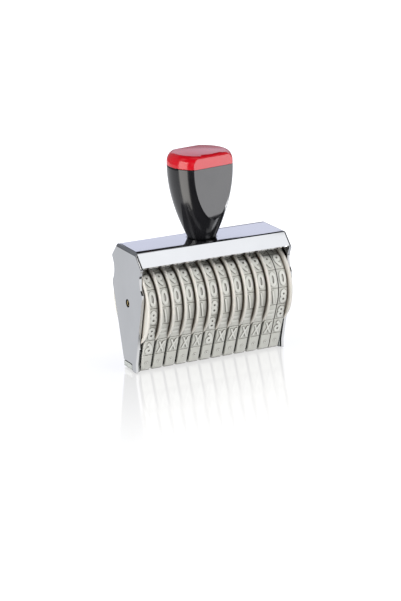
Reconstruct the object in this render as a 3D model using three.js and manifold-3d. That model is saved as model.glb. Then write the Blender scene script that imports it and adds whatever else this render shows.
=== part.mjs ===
// A hand numbering stamp with twelve endless character bands.
// Millimetres, +Z up. The origin is the middle of the printing face, on which the stamp stands.
// +X runs along the row of bands, -Y is the front, where the user turns the thumbwheels.
import * as THREE from "three";
import { mergeVertices } from "three/addons/utils/BufferGeometryUtils.js";
import Module from "manifold-3d";

const wasm = await Module();
wasm.setup();

// Frame: one sheet, with a flat top, two cheeks bent down and two sloping hood flanges.
// Each cheek's edge runs from the hood's lip down a scallop to the shoulder and tapers to the foot.
const frameLength = 95;
const sheet = 1.5;
const cheekBendRadius = 2.2;
const hoodBendRadius = 2.4;
const topHalfDepth = 12.6;
const hoodReach = 7.2;
const hoodDrop = 7.3;
const hoodClearance = 6.6;
const lipInset = 0.4;
const lipStraight = 1.8;
const scallopLength = 13.8;
const scallopDepth = 2.4;
const shoulderReach = 0.5;
const shoulderRoundDepth = 0.6;
const shoulderRoundHeight = 1.5;
const shoulderRound = 1.6;
const footMargin = 0.1;
const footHeight = 5.5;
const cheekLift = 0.5;

// Axle through both cheeks, with a drilled hollow in each end
const axleRadius = 1.6;
const axleHoleGap = 0.12;
const axleEndRecess = 0.3;
const axleHollowRadius = 1.1;
const axleHollowDepth = 2.5;

// Thumbwheels: a flange with a rounded rim that stands out on both of its sides, a drum that
// drives the band, and a hub on the axle
const wheelCount = 12;
const flangeRise = 2.9;
const flangeThickness = 0.95;
const rimWidth = 1.4;
const rimRound = 0.7;
const rimBandGap = 0.5;
const drumBandGap = 0.3;
const drumWall = 2;
const webThickness = 2.2;
const hubRadius = 6;
const runningGap = 0.08;
const wheelSideGap = 0.35;
const wheelEndGap = 0.3;
const wheelFootGap = 6.7;

// Bands: a belt with a block for each character, parted by grooves
const beltThickness = 1.4;
const blockHeight = 0.7;
const bandSideGap = 0.12;
const facingBandGap = 0.4;
const charactersPerBand = 15;
const bandCreep = 1;
const grooveHalfWidth = 0.35;
const bandWheelRadius = 21.3;
const faceHalfDepth = 4.7;
const bandCornerRadius = 3.5;

// Bridge that holds the bands flat at the printing face, with end plates and lugs in the cheeks
const bridgeBandGap = 0.3;
const bridgeTop = 9;
const endPlateThickness = 0.9;
const endPlateGap = 0.3;
const endPlateWheelGap = 1.8;
const endPlateMargin = 1;
const lugTop = 3.9;
const lugBottom = 0.8;
const lugFront = 2.5;
const lugInset = 0.2;
const notchGap = 0.3;

// Grip: a round pear cut flat at the front and rear, with a cap, turned a few degrees off square
const seatGap = 0.15;
const gripTurn = THREE.MathUtils.degToRad(9);
const gripNeckRadius = 8;
const gripRadius = 18.7;
const gripCurveHeight = 22.3;
const gripShoulderHeight = 41.4;
const gripStraight = 1.2;
const capHeight = 7.8;
const facetHalfDepth = 13.3;
const capRoundReach = 4.2;
const capRoundHeight = 5.8;
const capCrown = 0.5;
const capWall = 2.7;
const spigotHeight = 4;
const spigotGap = 0.3;

// Screw and washer that hold the grip from under the top plate
const screwRadius = 2.5;
const screwHoleGap = 0.3;
const screwLength = 20;
const screwHeadRadius = 4.4;
const screwHeadHeight = 2.8;
const screwSocketRadius = 1.9;
const screwSocketDepth = 1.6;
const washerRadius = 6;
const washerThickness = 1;

// Overrun of a cutting tool past the face that it cuts, and the number of facets in a full circle
const overrun = 2;
const smallRoundFacets = 16;
const wheelFacets = 24;
const gripFacets = 40;
const curveSteps = 4;

// Sizes worked out from the ones above
const flangeRadius = bandWheelRadius + flangeRise;
const flangeInset = rimWidth - flangeThickness;
const axleHeight = bridgeTop + wheelFootGap + flangeRadius;
const plateUnderside = axleHeight + flangeRadius + hoodClearance;
const frameHeight = plateUnderside + sheet;
const frameEnd = frameLength / 2;
const cheekInside = frameEnd - sheet;
const lipHalfDepth = topHalfDepth + hoodReach;
const lipHeight = frameHeight - hoodDrop;
const scallopTopHalfDepth = lipHalfDepth - lipInset;
const scallopTopHeight = lipHeight - lipStraight;
const shoulderHalfDepth = lipHalfDepth + shoulderReach;
const scallopFootHalfDepth = shoulderHalfDepth - shoulderRoundDepth;
const scallopFootHeight = scallopTopHeight - scallopLength;
const shoulderHeight = scallopFootHeight - shoulderRoundHeight;
const footHalfDepth = faceHalfDepth + bandCornerRadius + footMargin;
const hoodSlope = Math.atan2(hoodDrop, hoodReach);
const endPlateTop = axleHeight - flangeRadius - endPlateWheelGap;
const bandThickness = beltThickness + blockHeight;
const bandGaps = bandSideGap * (2 * wheelCount - 2) + facingBandGap;
const bandWidth =
  (2 * cheekInside - 2 * wheelSideGap - wheelCount * rimWidth - bandGaps) / wheelCount;
const wheelPitch = rimWidth + bandWidth + 2 * bandSideGap;
const drumRadius = bandWheelRadius - bandThickness - drumBandGap;
const drumLength = wheelPitch - wheelEndGap;
const hubBoreRadius = axleRadius + runningGap;
const gripSeamHeight = gripShoulderHeight + gripStraight;
const gripHeight = gripSeamHeight + capHeight;
const spigotRadius = facetHalfDepth - capWall;

const chrome = new THREE.MeshStandardMaterial({ color: 0xc9cad2, roughness: 0.12, metalness: 1 });
const brass = new THREE.MeshStandardMaterial({ color: 0x9a8455, roughness: 0.35, metalness: 1 });
const steel = new THREE.MeshStandardMaterial({ color: 0xa8abb0, roughness: 0.3, metalness: 1 });
const wheelPlastic = new THREE.MeshStandardMaterial({ color: 0xe6e3d9, roughness: 0.4 });
const bandRubber = new THREE.MeshStandardMaterial({ color: 0xc6c9c0, roughness: 0.6 });
const bridgePlastic = new THREE.MeshStandardMaterial({ color: 0xc9cec9, roughness: 0.45 });
const blackPlastic = new THREE.MeshStandardMaterial({ color: 0x0d0d0f, roughness: 0.12 });
const redPlastic = new THREE.MeshStandardMaterial({ color: 0xd80a18, roughness: 0.15 });

// A three.js geometry as a solid for joining and cutting, and a solid as a geometry again
function solidOf(geometry) {
  const bare = geometry.clone();
  bare.deleteAttribute("normal");
  bare.deleteAttribute("uv");
  const merged = mergeVertices(bare);
  return new wasm.Manifold(
    new wasm.Mesh({
      numProp: 3,
      vertProperties: merged.attributes.position.array,
      triVerts: new Uint32Array(merged.index.array),
    }),
  );
}

function geometryOf(solid) {
  const mesh = solid.getMesh();
  const geometry = new THREE.BufferGeometry();
  geometry.setAttribute("position", new THREE.BufferAttribute(mesh.vertProperties, 3));
  geometry.setIndex(new THREE.BufferAttribute(mesh.triVerts, 1));
  geometry.computeVertexNormals();
  return geometry;
}

// A box between two values on each axis
function boxBetween([x0, x1], [y0, y1], [z0, z1]) {
  const box = new THREE.BoxGeometry(x1 - x0, y1 - y0, z1 - z0);
  return box.translate((x0 + x1) / 2, (y0 + y1) / 2, (z0 + z1) / 2);
}

// A closed outline through a list of [across, up] pairs
function shapeThrough(points) {
  return new THREE.Shape(points.map(([across, up]) => new THREE.Vector2(across, up)));
}

// An outline drawn in Y and Z, run along X from one place to another
function extrudeAlongX(shape, from, to) {
  const run = new THREE.ExtrudeGeometry(shape, {
    depth: to - from,
    bevelEnabled: false,
    curveSegments: curveSteps,
  });
  const yzFromShape = new THREE.Matrix4().makeBasis(
    new THREE.Vector3(0, 1, 0),
    new THREE.Vector3(0, 0, 1),
    new THREE.Vector3(1, 0, 0),
  );
  return run.applyMatrix4(yzFromShape).translate(from, 0, 0);
}

// An outline drawn in X and Z, run along Y to the same distance at the front and the rear
function extrudeAlongY(shape, halfDepth) {
  const run = new THREE.ExtrudeGeometry(shape, {
    depth: 2 * halfDepth,
    bevelEnabled: false,
    curveSegments: curveSteps,
  });
  return run.rotateX(Math.PI / 2).translate(0, halfDepth, 0);
}

// A closed profile of [place, radius] pairs turned about an axis along X
function turnAboutX(profile, facets) {
  const points = [...profile, profile[0]].map(([place, radius]) => {
    return new THREE.Vector2(radius, place);
  });
  return new THREE.LatheGeometry(points, facets).rotateZ(-Math.PI / 2);
}

// A profile of [radius, height] pairs that starts and ends on the axis, turned about Z
function turnAboutZ(profile, facets) {
  const points = profile.map(([radius, height]) => new THREE.Vector2(radius, height));
  return new THREE.LatheGeometry(points, facets).rotateX(Math.PI / 2);
}

// The points of an arc between two directions about a centre, in the drawing's plane
function arcPoints([across, up], radius, fromAngle, toAngle, steps) {
  return Array.from({ length: steps + 1 }, (_, i) => {
    const angle = fromAngle + ((toAngle - fromAngle) * i) / steps;
    return [across + radius * Math.cos(angle), up + radius * Math.sin(angle)];
  });
}

// One face of the bend between the rear slope of the hood and the flat top, in Y and Z
function hoodBend(faceRadius) {
  const tangent = hoodBendRadius * Math.tan(hoodSlope / 2);
  const centre = [topHalfDepth - tangent, frameHeight - hoodBendRadius];
  const up = Math.PI / 2;
  return arcPoints(centre, faceRadius, up - hoodSlope, up, curveSteps / 2);
}

// The cheek's outline in Y and Z: a narrow foot, a taper to the shoulder, a scallop, the hood's
// slope and the flat top. The rear half is drawn, and the front half mirrors it.
function cheekOutline() {
  const taperLength = shoulderHeight - footHeight;
  const roundShare = shoulderRound / taperLength;
  const scallopMiddle = (scallopTopHeight + scallopFootHeight) / 2;
  const scallopEdge = (scallopTopHalfDepth + scallopFootHalfDepth) / 2;
  const rear = new THREE.Path();
  rear.moveTo(footHalfDepth, cheekLift);
  rear.lineTo(footHalfDepth, footHeight);
  rear.lineTo(
    shoulderHalfDepth - (shoulderHalfDepth - footHalfDepth) * roundShare,
    shoulderHeight - shoulderRound,
  );
  rear.quadraticCurveTo(
    shoulderHalfDepth,
    shoulderHeight,
    scallopFootHalfDepth,
    scallopFootHeight,
  );
  rear.quadraticCurveTo(
    scallopEdge - 2 * scallopDepth,
    scallopMiddle,
    scallopTopHalfDepth,
    scallopTopHeight,
  );
  rear.lineTo(lipHalfDepth, lipHeight);
  for (const [depth, height] of hoodBend(hoodBendRadius)) {
    rear.lineTo(depth, height);
  }
  const half = rear.getPoints(curveSteps);
  const front = half.map((point) => new THREE.Vector2(-point.x, point.y)).reverse();
  return new THREE.Shape([...half, ...front]);
}

// One face of the bent sheet seen from the front, from the foot of the right cheek over the top to
// the foot of the left one. Both faces bend round the same two centres.
function sheetFace(bendRadius) {
  const bendCentre = frameEnd - cheekBendRadius;
  const bendHeight = frameHeight - cheekBendRadius;
  const up = Math.PI / 2;
  return [
    [bendCentre + bendRadius, 0],
    ...arcPoints([bendCentre, bendHeight], bendRadius, 0, up, curveSteps),
    ...arcPoints([-bendCentre, bendHeight], bendRadius, up, Math.PI, curveSteps),
    [-bendCentre - bendRadius, 0],
  ];
}

// The section of a hood flange: a strip of the top, the bend and the slope down to the lip.
// The side is 1 for the rear and -1 for the front.
function hoodFlangeSection(side) {
  const outerBend = hoodBend(hoodBendRadius);
  const innerBend = hoodBend(hoodBendRadius - sheet).reverse();
  const stripEnd = innerBend[0][0] - sheet;
  const lipInside = [
    lipHalfDepth - sheet * Math.sin(hoodSlope),
    lipHeight - sheet * Math.cos(hoodSlope),
  ];
  const points = [
    [lipHalfDepth, lipHeight],
    ...outerBend,
    [stripEnd, frameHeight],
    [stripEnd, plateUnderside],
    ...innerBend,
    lipInside,
  ];
  return shapeThrough(points.map(([depth, height]) => [side * depth, height]));
}

// A round cutting tool along X through one cheek
function axleHole(side) {
  const hole = new THREE.CylinderGeometry(
    axleRadius + axleHoleGap,
    axleRadius + axleHoleGap,
    sheet + 2 * overrun,
    smallRoundFacets,
  );
  return hole.rotateZ(Math.PI / 2).translate(side * (frameEnd - sheet / 2), 0, axleHeight);
}

// The notch at the rear of one cheek's foot, open below and behind, that takes the bridge's lug
function lugNotch(side) {
  const across = [side * (cheekInside - overrun), side * (frameEnd + overrun)];
  return boxBetween(
    across.sort((a, b) => a - b),
    [-lugFront - notchGap, footHalfDepth + overrun],
    [-overrun, lugTop + notchGap],
  );
}

function makeFrame() {
  const reach = shoulderHalfDepth + overrun;
  const outerFace = sheetFace(cheekBendRadius);
  const innerFace = sheetFace(cheekBendRadius - sheet).reverse();
  const bentSheet = solidOf(extrudeAlongY(shapeThrough([...outerFace, ...innerFace]), reach));
  const outside = solidOf(extrudeAlongY(shapeThrough(outerFace), reach));
  let frame = solidOf(extrudeAlongX(cheekOutline(), -frameEnd, frameEnd)).intersect(bentSheet);
  for (const side of [-1, 1]) {
    const flange = solidOf(extrudeAlongX(hoodFlangeSection(side), -frameEnd, frameEnd));
    frame = frame.add(flange.intersect(outside));
    frame = frame.subtract(solidOf(axleHole(side)));
    frame = frame.subtract(solidOf(lugNotch(side)));
  }
  const screwHole = new THREE.CylinderGeometry(
    screwRadius + screwHoleGap,
    screwRadius + screwHoleGap,
    sheet + 2 * overrun,
    smallRoundFacets,
  );
  screwHole.rotateX(Math.PI / 2).translate(0, 0, frameHeight - sheet / 2);
  return geometryOf(frame.subtract(solidOf(screwHole)));
}

function makeAxle() {
  const end = frameEnd - axleEndRecess;
  const hollowFloor = end - axleHollowDepth;
  const profile = [
    [-hollowFloor, 0],
    [-hollowFloor, axleHollowRadius],
    [-end, axleHollowRadius],
    [-end, axleRadius],
    [end, axleRadius],
    [end, axleHollowRadius],
    [hollowFloor, axleHollowRadius],
    [hollowFloor, 0],
  ];
  const points = profile.map(([place, radius]) => new THREE.Vector2(radius, place));
  return new THREE.LatheGeometry(points, smallRoundFacets).rotateZ(-Math.PI / 2);
}

// One thumbwheel with its rim's outer side at X 0 and its drum towards +X. The hub reaches out as
// far as the rim, and the flange between them stands in.
function makeWheel() {
  const rimInside = bandWheelRadius + rimBandGap;
  const profile = [
    [0, hubBoreRadius],
    [0, hubRadius],
    [flangeInset, hubRadius],
    [flangeInset, rimInside],
    [0, rimInside + flangeInset],
    [0, flangeRadius - rimRound],
    [rimRound / 2, flangeRadius],
    [rimWidth - rimRound / 2, flangeRadius],
    [rimWidth, flangeRadius - rimRound],
    [rimWidth, drumRadius],
    [drumLength, drumRadius],
    [drumLength, drumRadius - drumWall],
    [webThickness, drumRadius - drumWall],
    [webThickness, hubRadius],
    [drumLength, hubRadius],
    [drumLength, hubBoreRadius],
  ];
  return turnAboutX(profile, wheelFacets);
}

// The band's loop, measured along the middle of its thickness from the middle of the face.
// Half of it is a flat, a corner round the bridge, a straight run and half the wrap of the drum.
const middleOut = bandThickness / 2;
const cornerMiddleRadius = bandCornerRadius - middleOut;
const wheelMiddleRadius = bandWheelRadius - middleOut;
const centreRise = axleHeight - bandCornerRadius;
const centreDistance = Math.hypot(faceHalfDepth, centreRise);
const runLean =
  Math.asin((bandWheelRadius - bandCornerRadius) / centreDistance) -
  Math.atan2(faceHalfDepth, centreRise);
const cornerTurn = Math.PI / 2 - runLean;
const cornerArc = cornerTurn * cornerMiddleRadius;
const runLength = Math.sqrt(centreDistance ** 2 - (bandWheelRadius - bandCornerRadius) ** 2);
const wheelStart = faceHalfDepth + cornerArc + runLength;
const wheelTurn = Math.PI / 2 + runLean;
const halfLoop = wheelStart + wheelTurn * wheelMiddleRadius;
const characterPitch = (2 * halfLoop) / charactersPerBand;

// The point of the loop at a distance along it, moved out from its middle line.
// A positive distance runs up the front, a negative one up the rear.
function loopPoint(along, out) {
  const distance = Math.abs(along);
  const cornerRadius = cornerMiddleRadius + out;
  let depth;
  let height;
  if (distance <= faceHalfDepth) {
    depth = distance;
    height = bandCornerRadius - cornerRadius;
  } else if (distance <= faceHalfDepth + cornerArc) {
    const turned = (distance - faceHalfDepth) / cornerMiddleRadius;
    depth = faceHalfDepth + cornerRadius * Math.sin(turned);
    height = bandCornerRadius - cornerRadius * Math.cos(turned);
  } else if (distance <= wheelStart) {
    const up = distance - faceHalfDepth - cornerArc;
    depth = faceHalfDepth + cornerRadius * Math.cos(runLean) + up * Math.sin(runLean);
    height = bandCornerRadius - cornerRadius * Math.sin(runLean) + up * Math.cos(runLean);
  } else {
    const angle = (distance - wheelStart) / wheelMiddleRadius - runLean;
    depth = (wheelMiddleRadius + out) * Math.cos(angle);
    height = axleHeight + (wheelMiddleRadius + out) * Math.sin(angle);
  }
  return new THREE.Vector2(-Math.sign(along) * depth, height);
}

// The distances along the loop at which its round stretches need a point, from rear top to front top
function loopStops(cornerSteps, wheelSteps) {
  const front = [];
  for (let i = 0; i <= cornerSteps; i++) {
    front.push(faceHalfDepth + (cornerArc * i) / cornerSteps);
  }
  for (let i = 0; i <= wheelSteps; i++) {
    front.push(wheelStart + ((halfLoop - wheelStart) * i) / wheelSteps);
  }
  return [...front.map((stop) => -stop).reverse(), ...front];
}

// One character band as an outline in Y and Z: blocks parted by V grooves outside, smooth inside
function bandOutline() {
  const outerStops = loopStops(3, 8);
  const outline = [];
  for (let cell = 0; cell < charactersPerBand; cell++) {
    const start = cell * characterPitch - halfLoop + bandCreep;
    const blockStart = start + grooveHalfWidth;
    const blockEnd = start + characterPitch - grooveHalfWidth;
    const inside = outerStops.filter((stop) => stop > blockStart && stop < blockEnd);
    outline.push(loopPoint(start, middleOut - blockHeight));
    outline.push(...[blockStart, ...inside, blockEnd].map((stop) => loopPoint(stop, middleOut)));
  }
  const shape = new THREE.Shape(outline);
  const innerStops = loopStops(2, 8).slice(1).reverse();
  shape.holes.push(new THREE.Path(innerStops.map((stop) => loopPoint(stop, -middleOut))));
  return shape;
}

// Bridge: a bar with rounded lower corners, a plate at each end and a lug out of each plate
function makeBridge() {
  const barBottom = bandThickness + bridgeBandGap;
  const cornerRound = bandCornerRadius - barBottom;
  const barHalfDepth = faceHalfDepth + cornerRound;
  const plateOutside = cheekInside - endPlateGap;
  const bar = new THREE.Shape();
  bar.moveTo(-barHalfDepth, bridgeTop);
  bar.lineTo(-barHalfDepth, barBottom + cornerRound);
  bar.quadraticCurveTo(-barHalfDepth, barBottom, -faceHalfDepth, barBottom);
  bar.lineTo(faceHalfDepth, barBottom);
  bar.quadraticCurveTo(barHalfDepth, barBottom, barHalfDepth, barBottom + cornerRound);
  bar.lineTo(barHalfDepth, bridgeTop);
  let bridge = solidOf(extrudeAlongX(bar, -plateOutside, plateOutside));

  const taper = (shoulderHalfDepth - footHalfDepth) / (shoulderHeight - footHeight);
  const plateFoot = footHalfDepth - endPlateMargin;
  const plateHead = plateFoot + (endPlateTop - footHeight) * taper;
  const plate = new THREE.Shape();
  plate.moveTo(-plateFoot, lugBottom);
  plate.lineTo(plateFoot, lugBottom);
  plate.lineTo(plateFoot, footHeight);
  plate.lineTo(plateHead, endPlateTop);
  plate.lineTo(-plateHead, endPlateTop);
  plate.lineTo(-plateFoot, footHeight);
  for (const side of [-1, 1]) {
    const plateSpan = [side * plateOutside, side * (plateOutside - endPlateThickness)];
    const lugSpan = [side * (plateOutside - endPlateThickness), side * (frameEnd - lugInset)];
    plateSpan.sort((a, b) => a - b);
    lugSpan.sort((a, b) => a - b);
    bridge = bridge.add(solidOf(extrudeAlongX(plate, ...plateSpan)));
    const lug = boxBetween(lugSpan, [-lugFront, footHalfDepth], [lugBottom, lugTop]);
    bridge = bridge.add(solidOf(lug));
  }
  return geometryOf(bridge);
}

// The grip or its cap, cut flat at the front and the rear
function cutFacets(geometry) {
  let solid = solidOf(geometry);
  const reach = gripRadius + overrun;
  const heights = [-overrun, gripHeight + overrun];
  for (const side of [-1, 1]) {
    const span = [side * facetHalfDepth, side * reach].sort((a, b) => a - b);
    solid = solid.subtract(solidOf(boxBetween([-reach, reach], span, heights)));
  }
  return geometryOf(solid);
}

// Grip body in its own frame, with its foot at height 0: a neck that swells in one long curve to
// the seam, a spigot for the cap and a bore for the screw
function makeGripBody() {
  const boreRadius = screwRadius + screwHoleGap;
  const boreTop = screwLength + screwHoleGap;
  const swell = new THREE.QuadraticBezierCurve(
    new THREE.Vector2(gripNeckRadius, 0),
    new THREE.Vector2(gripRadius, gripCurveHeight),
    new THREE.Vector2(gripRadius, gripShoulderHeight),
  );
  const profile = [
    [0, boreTop],
    [boreRadius, boreTop],
    [boreRadius, 0],
    ...swell.getPoints(3 * curveSteps).map((point) => [point.x, point.y]),
    [gripRadius, gripSeamHeight],
    [spigotRadius, gripSeamHeight],
    [spigotRadius, gripSeamHeight + spigotHeight],
    [0, gripSeamHeight + spigotHeight],
  ];
  return cutFacets(turnAboutZ(profile, gripFacets));
}

// Cap in the same frame: a socket over the spigot, a straight skirt, a rounded edge and a low crown
function makeGripCap() {
  const capBottom = gripSeamHeight + seatGap;
  const socketRadius = spigotRadius + spigotGap;
  const socketTop = gripSeamHeight + spigotHeight + spigotGap;
  const crownRadius = gripRadius - capRoundReach;
  const roundedEdge = new THREE.EllipseCurve(
    crownRadius,
    gripHeight - capCrown - capRoundHeight,
    capRoundReach,
    capRoundHeight,
    0,
    Math.PI / 2,
  );
  const profile = [
    [0, socketTop],
    [socketRadius, socketTop],
    [socketRadius, capBottom],
    [gripRadius, capBottom],
    ...roundedEdge.getPoints(curveSteps).map((point) => [point.x, point.y]),
    [crownRadius / 2, gripHeight - capCrown / 4],
    [0, gripHeight],
  ];
  return cutFacets(turnAboutZ(profile, gripFacets));
}

// Grip screw with its length measured up from the plate's top and its head under the washer
function makeScrew() {
  const shankTop = frameHeight + screwLength;
  const headTop = plateUnderside - washerThickness - 2 * seatGap;
  const headBottom = headTop - screwHeadHeight;
  const profile = [
    [0, headBottom + screwSocketDepth],
    [screwSocketRadius, headBottom + screwSocketDepth],
    [screwSocketRadius, headBottom],
    [screwHeadRadius, headBottom],
    [screwHeadRadius, headTop],
    [screwRadius, headTop],
    [screwRadius, shankTop],
    [0, shankTop],
  ];
  return turnAboutZ(profile, smallRoundFacets);
}

function makeWasher() {
  const top = plateUnderside - seatGap;
  const hole = screwRadius + screwHoleGap;
  const profile = [
    [hole, top - washerThickness],
    [washerRadius, top - washerThickness],
    [washerRadius, top],
    [hole, top],
    [hole, top - washerThickness],
  ];
  return turnAboutZ(profile, smallRoundFacets);
}

const stamp = new THREE.Group();

function addPiece(parent, name, geometry, material) {
  const mesh = new THREE.Mesh(geometry, material);
  mesh.name = name;
  parent.add(mesh);
  return mesh;
}

addPiece(stamp, "frame", makeFrame(), chrome);
addPiece(stamp, "bridge", makeBridge(), bridgePlastic);
addPiece(stamp, "axle", makeAxle(), brass).position.z = axleHeight;

// The thumbwheels and bands stand in one row. Each wheel has its flange on the left of its band,
// but the last one is turned round, so that its flange lies next to the right cheek.
const wheelGeometry = makeWheel();
const bandGeometry = extrudeAlongX(bandOutline(), 0, bandWidth);
for (let place = 1; place <= wheelCount; place++) {
  const label = String(place).padStart(2, "0");
  const last = place === wheelCount;
  const flangeFace = last
    ? cheekInside - wheelSideGap
    : (place - 1) * wheelPitch - cheekInside + wheelSideGap;
  const wheel = addPiece(stamp, `wheel_${label}`, wheelGeometry, wheelPlastic);
  wheel.position.set(flangeFace, 0, axleHeight);
  wheel.rotation.z = last ? Math.PI : 0;
  const besideRim = rimWidth + bandSideGap;
  const band = addPiece(stamp, `band_${label}`, bandGeometry, bandRubber);
  band.position.x = last ? flangeFace - besideRim - bandWidth : flangeFace + besideRim;
}

const grip = new THREE.Group();
grip.position.z = frameHeight + seatGap;
grip.rotation.z = gripTurn;
addPiece(grip, "grip_body", makeGripBody(), blackPlastic);
addPiece(grip, "grip_cap", makeGripCap(), redPlastic);
stamp.add(grip);
addPiece(stamp, "grip_screw", makeScrew(), steel);
addPiece(stamp, "grip_washer", makeWasher(), steel);

export default stamp;
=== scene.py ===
import functools
import math

import bmesh
import bpy
from mathutils import Matrix, Vector


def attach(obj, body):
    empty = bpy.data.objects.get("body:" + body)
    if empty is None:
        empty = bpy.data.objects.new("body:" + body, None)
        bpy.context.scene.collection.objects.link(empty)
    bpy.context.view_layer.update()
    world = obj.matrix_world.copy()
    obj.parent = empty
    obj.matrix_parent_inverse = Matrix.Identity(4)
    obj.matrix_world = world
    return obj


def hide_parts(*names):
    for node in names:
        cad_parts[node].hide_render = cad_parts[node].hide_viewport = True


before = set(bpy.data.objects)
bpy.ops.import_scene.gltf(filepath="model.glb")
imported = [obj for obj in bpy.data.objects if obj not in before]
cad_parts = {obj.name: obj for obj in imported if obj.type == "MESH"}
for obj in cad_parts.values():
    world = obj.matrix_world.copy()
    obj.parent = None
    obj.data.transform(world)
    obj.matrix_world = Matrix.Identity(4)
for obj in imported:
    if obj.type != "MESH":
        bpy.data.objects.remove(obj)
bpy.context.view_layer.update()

# A hand numbering stamp with twelve endless character bands, dressed for its photograph.
# Lengths are in millimetres, as in the part's source, and MM turns them into metres. The origin is
# the middle of the printing face. +X runs along the row of bands, and -Y is the front.
MM = 0.001

# Camera, fitted to the photograph
CAMERA_PLACE = (-493.9, -1015.3, 376.1)
CAMERA_AZIMUTH = math.radians(25.86)
CAMERA_ELEVATION = math.radians(16.85)
CAMERA_ROLL = math.radians(-1.52)
CAMERA_LENS = 122.97
CAMERA_SENSOR = 36
CAMERA_RANGE = 100_000

# Frame: one sheet, with a flat top, two cheeks bent down and two sloping hood flanges.
# Each cheek's edge runs from the hood's lip down a scallop to the shoulder and tapers to the foot.
FRAME_LENGTH = 95
SHEET = 1.5
CHEEK_BEND = 2.2
HOOD_BEND = 2.4
TOP_HALF_DEPTH = 12.6
HOOD_REACH = 7.2
HOOD_DROP = 7.3
HOOD_CLEARANCE = 6.6
LIP_INSET = 0.4
LIP_STRAIGHT = 1.8
SCALLOP_LENGTH = 13.8
SCALLOP_DEPTH = 2.4
SHOULDER_REACH = 0.5
SHOULDER_ROUND_DEPTH = 0.6
SHOULDER_ROUND_HEIGHT = 1.5
SHOULDER_ROUND = 1.6
FOOT_MARGIN = 0.1
FOOT_HEIGHT = 5.5
CHEEK_LIFT = 0.5
LUG_FRONT = 2.5
LUG_TOP = 3.9
NOTCH_GAP = 0.8

# Frame, finer forms: broken edges, rounded ends of the slopes, and a top that falls softly before
# its bends
EDGE_BREAK = 0.28
HOOD_END_ROUND = 1.3
SOFT_REACH = 3
SOFT_TILT = math.radians(7)
SOFT_SHARES = (0.75, 0.5, 0.25, 0)

# Axle with a drilled hollow in each end, and the well round each of its holes
AXLE_RADIUS = 1.6
AXLE_HOLE_GAP = 0.12
AXLE_RECESS = 0.3
AXLE_CHAMFER = 0.1
AXLE_HOLLOW_RADIUS = 1.1
AXLE_HOLLOW_DEPTH = 2.5
AXLE_HOLLOW_CHAMFER = 0.15
AXLE_DRILL_TIP = 0.5
AXLE_WELL_RADIUS = 2.4
AXLE_WELL_DEPTH = 1.2

# Thumbwheels: a flange whose rounded rim stands out on its outer side, a drum inside the band,
# and a hub on the axle
WHEEL_COUNT = 12
FLANGE_RISE = 2.9
FLANGE_THICKNESS = 0.95
RIM_WIDTH = 1.4
RIM_BAND_GAP = 0.5
RIM_EASE = 0.1
DRUM_BAND_GAP = 0.3
DRUM_WALL = 2
WEB_THICKNESS = 2.2
HUB_RADIUS = 6
HUB_SLOPE = 0.3
POCKET_CHAMFER = 0.4
WHEEL_CHAMFER = 0.15
RUNNING_GAP = 0.08
WHEEL_SIDE_GAP = 0.35
WHEEL_END_GAP = 0.3
WHEEL_FOOT_GAP = 6.7

# Bands: a belt with a pad for each character, parted by grooves, round a wheel and a bridge
BELT_THICKNESS = 1.4
CHARACTER_HEIGHT = 0.7
BAND_SIDE_GAP = 0.12
FACING_BAND_GAP = 0.4
CELL_COUNT = 15
CELL_STEPS = 12
BAND_CREEP = 1
BAND_WHEEL_RADIUS = 21.3
FACE_HALF_DEPTH = 4.7
BAND_CORNER = 3.5
BRIDGE_TOP = 9
PAD_RISE = 0.2
GROOVE_DEPTH = 0.4
GROOVE_HALF_WIDTH = 0.3
GROOVE_SHARE = 0.05
BELT_OUTER_ROUND = 0.25
BELT_OUTER_ROUND_SHARE = 0.3
BELT_INNER_CHAMFER = 0.15

# Characters: width, height, share of the full relief, and how far the strokes are widened, in
# parts of the letter's size
DIGIT = (4.4, 8.4, 1, 0.015)
CHARACTERS = {
    "/": (2.6, 8.4, 1, 0.02),
    "1": (2.6, 8.4, 1, 0.02),
    "X": (4.6, 7.8, 1, 0.015),
    "-": (3.6, 1.3, 1, 0.015),
    "o": (2, 2, 0.5, 0.015),
    "=": (4, 4.5, 0.3, -0.01),
}
CHARACTER_SINK = 0.05
CHARACTER_SLICE = 1
LETTER_DEPTH_SHARE = 0.04
LETTER_BEVEL_SHARE = 0.03
LETTER_WELD_SHARE = 0.0005
LETTER_CURVE_STEPS = 4

# What the cells hold, from the top down the rear, over the face and up the front to the top
COMMON_CELLS = "7654321-oX=/098"
OTHER_CELLS = "7654321-o688097"
OTHER_BANDS = (1, 6, 12)

# Grip: a round pear cut flat at the front and rear, with a cap, turned a few degrees off square
SEAT_GAP = 0.15
GRIP_TURN = math.radians(9)
GRIP_NECK = 8
GRIP_RADIUS = 18.7
GRIP_CURVE_HEIGHT = 22.3
GRIP_SHOULDER = 41.4
GRIP_STRAIGHT = 1.2
GRIP_EDGE_BREAK = 0.25
FACET_HALF_DEPTH = 13.3
SEAM_ROUND = 0.35
SEAM_EASE = 0.1
SPIGOT_HEIGHT = 4
SPIGOT_GAP = 0.3
SCREW_RADIUS = 2.5
SCREW_HOLE_GAP = 0.3
SCREW_LENGTH = 20
CAP_HEIGHT = 7.8
CAP_WALL = 2.7
CAP_FOOT_ROUND = 0.3
CAP_ROUND_REACH = 4.2
CAP_ROUND_HEIGHT = 5.8
CAP_CROWN = 0.5
CAP_CROWN_SHARES = (0.8, 0.6, 0.4, 0.2)
CAP_TOP_ROUND = 1.7
CAP_EDGE_BREAK = 0.9

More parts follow.
